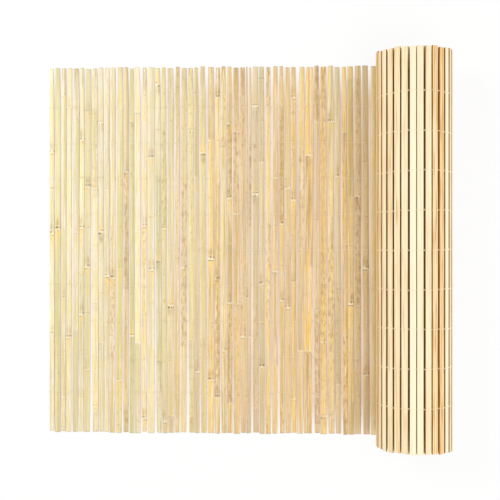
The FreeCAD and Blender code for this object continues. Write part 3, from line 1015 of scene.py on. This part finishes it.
# %% Twist the nine rows
thread_luck = random.Random(15)
thread_pieces = []
for number in range(1, ROWS_OF_THREAD + 1):
    node = f"binding_{number}"
    low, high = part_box(node)
    piece = grow(
        THREAD_TREE, row_guide(node, (low.y + high.y) / 2, thread_luck), f"thread_row_{number}",
        strand_radius=THREAD_RADIUS, outer_rise=THICKNESS / 2 + THREAD_RADIUS,
        inner_rise=THICKNESS / 2 + THREAD_RADIUS + 0.05 * MM, swing=0.8 * MM, sides=5,
        material=NYLON)
    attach(piece, BODY)
    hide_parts(node)
    thread_pieces.append(piece)
print("threads:", sum(triangles(piece) for piece in thread_pieces), "triangles")

# %% [markdown]
# ## Floor and white ground
#
# The photograph shows the panel on pure white. A floor that is white only because it is brightly
# lit would need so much light that the pale bamboo burnt out. So the floor is an ordinary pale
# surface for every ray but the camera's. For the camera most of it is plain white, and the part
# that still takes light keeps the soft shadow of the mat.
#
# Between the slats the floor is not quite white. Light reaches it by way of the wood, so it comes
# out pink at the left and a warm mauve near the roll. The rays that carry such a tint bounce many
# times and cost much, so the floor under the mat is painted with that bounced light, and with
# patches of painted shade near the roll. It follows the place on the floor, so it stays where it
# is from every side.

# %% The floor
FLOOR_SIZE = 9.0
OPEN_WHITE = 0.85
LEFT_WHITE = 0.95
RIGHT_WHITE = (0.56, 0.78)
WHITE = (1.0, 1.0, 1.0, 1.0)
PALE_BOUNCE = (1.0, 0.88, 0.82, 1.0)
WARM_BOUNCE = (1.0, 0.80, 0.64, 1.0)
# DIM_BOUNCE is painted shade: dim patches on the floor under the mat near the roll.
DIM_BOUNCE = (0.66, 0.47, 0.34, 1.0)


def seen_plainly(tree):
    """1 for the rays that meet plain white: the camera's, and those seen in gloss or through glass."""
    rays = place(tree, "ShaderNodeLightPath")
    seen = calc(tree, "MAXIMUM", rays.outputs["Is Camera Ray"], rays.outputs["Is Glossy Ray"])
    return calc(tree, "MAXIMUM", seen, rays.outputs["Is Transmission Ray"])


def make_floor():
    mesh = bpy.data.meshes.new("floor")
    half = FLOOR_SIZE / 2
    corners = [(-half, -half, 0), (half, -half, 0), (half, half, 0), (-half, half, 0)]
    mesh.from_pydata(corners, [], [(0, 1, 2, 3)])
    floor = bpy.data.objects.new("floor", mesh)
    bpy.context.scene.collection.objects.link(floor)
    material = bpy.data.materials.new("white_floor")
    material.use_nodes = True
    tree = material.node_tree
    tree.nodes.clear()
    where = place(tree, "ShaderNodeSeparateXYZ", (
        (0, place(tree, "ShaderNodeTexCoord").outputs["Object"]),)).outputs
    under = fade(tree, calc(tree, "ABSOLUTE", where[1]), 0.41, 0.49, 1.0, 0.0)
    under = calc(tree, "MULTIPLY", under, fade(tree, where[0], left_end, left_end + 2 * MM))
    under = calc(tree, "MULTIPLY", under, fade(tree, where[0], roll_axis.x, roll_axis.x - 2 * MM))
    patchy = spread_noise(tree, place(tree, "ShaderNodeCombineXYZ", (
        (0, calc(tree, "MULTIPLY", where[0], 70)),
        (1, calc(tree, "MULTIPLY", where[1], 2)))).outputs[0], detail=1)
    share = fade(tree, patchy, 0.35, 0.65)
    along = fade(tree, where[0], left_end, roll_axis.x)
    bounce = mixed(tree, along, mixed(tree, share, PALE_BOUNCE, WHITE), mixed(
        tree, share, DIM_BOUNCE, WARM_BOUNCE))
    # Painted bounce light and painted shade on the floor under the mat.
    painted_bounce_and_shade = mixed(tree, under, WHITE, bounce)
    lit = place(tree, "ShaderNodeBsdfDiffuse", (
        ("Color", mixed(tree, 1.0, painted_bounce_and_shade, shade(250, 249, 247), "MULTIPLY")),))
    white = place(tree, "ShaderNodeEmission", (("Color", painted_bounce_and_shade), ("Strength", 1.0)))
    right_white = fade(tree, where[1], -LONGEST / 2, LONGEST / 2, *RIGHT_WHITE)
    white_share = fade(tree, under, 0.0, 1.0, OPEN_WHITE, fade(
        tree, along, 0.35, 0.85, LEFT_WHITE, right_white))
    surface = place(tree, "ShaderNodeMixShader", (
        (0, calc(tree, "MULTIPLY", seen_plainly(tree), white_share)), (1, lit.outputs[0]),
        (2, white.outputs[0])))
    output = place(tree, "ShaderNodeOutputMaterial")
    tree.links.new(surface.outputs[0], output.inputs[0])
    mesh.materials.append(material)
    return floor


make_floor()
print("floor", FLOOR_SIZE, "m wide")

# %% [markdown]
# ## Light and camera
#
# The light in the photograph is even, with hardly a shadow, as in a light tent. The world gives
# more than half of it, from all around. One wide lamp at the left gives the slats' arched skins a
# brighter side and reaches in under the roll's flank. One overhead at the right keeps the other
# side from going grey, and a small one low at the right lights the roll's far side.

# %% World and lamps
scene = bpy.context.scene
scene.view_settings.view_transform = "Standard"


def make_world(strength):
    world = bpy.data.worlds.new("light_tent")
    world.use_nodes = True
    tree = world.node_tree
    background = tree.nodes["Background"]
    background.inputs["Color"].default_value = (1.0, 1.0, 1.0, 1.0)
    feed(tree, background.inputs["Strength"], fade(
        tree, seen_plainly(tree), 0.0, 1.0, strength, 1.0))
    return world


def add_lamp(name, position, target, width, power):
    data = bpy.data.lights.new(name, "AREA")
    data.size = width
    data.energy = power
    lamp = bpy.data.objects.new(name, data)
    scene.collection.objects.link(lamp)
    lamp.location = position
    aim = Vector(target) - Vector(position)
    lamp.rotation_euler = aim.to_track_quat("-Z", "Y").to_euler()
    return lamp


scene.world = make_world(0.595)
add_lamp("key", (-2.2, 1.1, 2.3), (0, 0, 0), 1.6, 46)
add_lamp("fill", (1.4, -1.0, 2.8), (0.2, 0, 0), 2.4, 34)
add_lamp("roll_side", (2.1, 0.3, 0.42), (0.5, 0, 0.1), 0.6, 5)

# %% [markdown]
# The photograph looks straight down with a hint of perspective: the roll stands nearer to the
# camera, so it looks larger than the mat, and its far side is hidden. From those two clues the
# camera's height, place and lens follow. It leans a degree and a half.

# %% Camera
CAMERA_PLACE = (0.0701, 0.0, 1.9318)
CAMERA_LEAN = math.radians(1.62)
LENS = 51.16


def make_camera():
    data = bpy.data.cameras.new("camera")
    data.lens = LENS
    data.sensor_width = 36
    camera = bpy.data.objects.new("camera", data)
    scene.collection.objects.link(camera)
    camera.location = CAMERA_PLACE
    camera.rotation_euler = (0.0, CAMERA_LEAN, 0.0)
    return camera


scene.camera = make_camera()
print("camera at", CAMERA_PLACE)
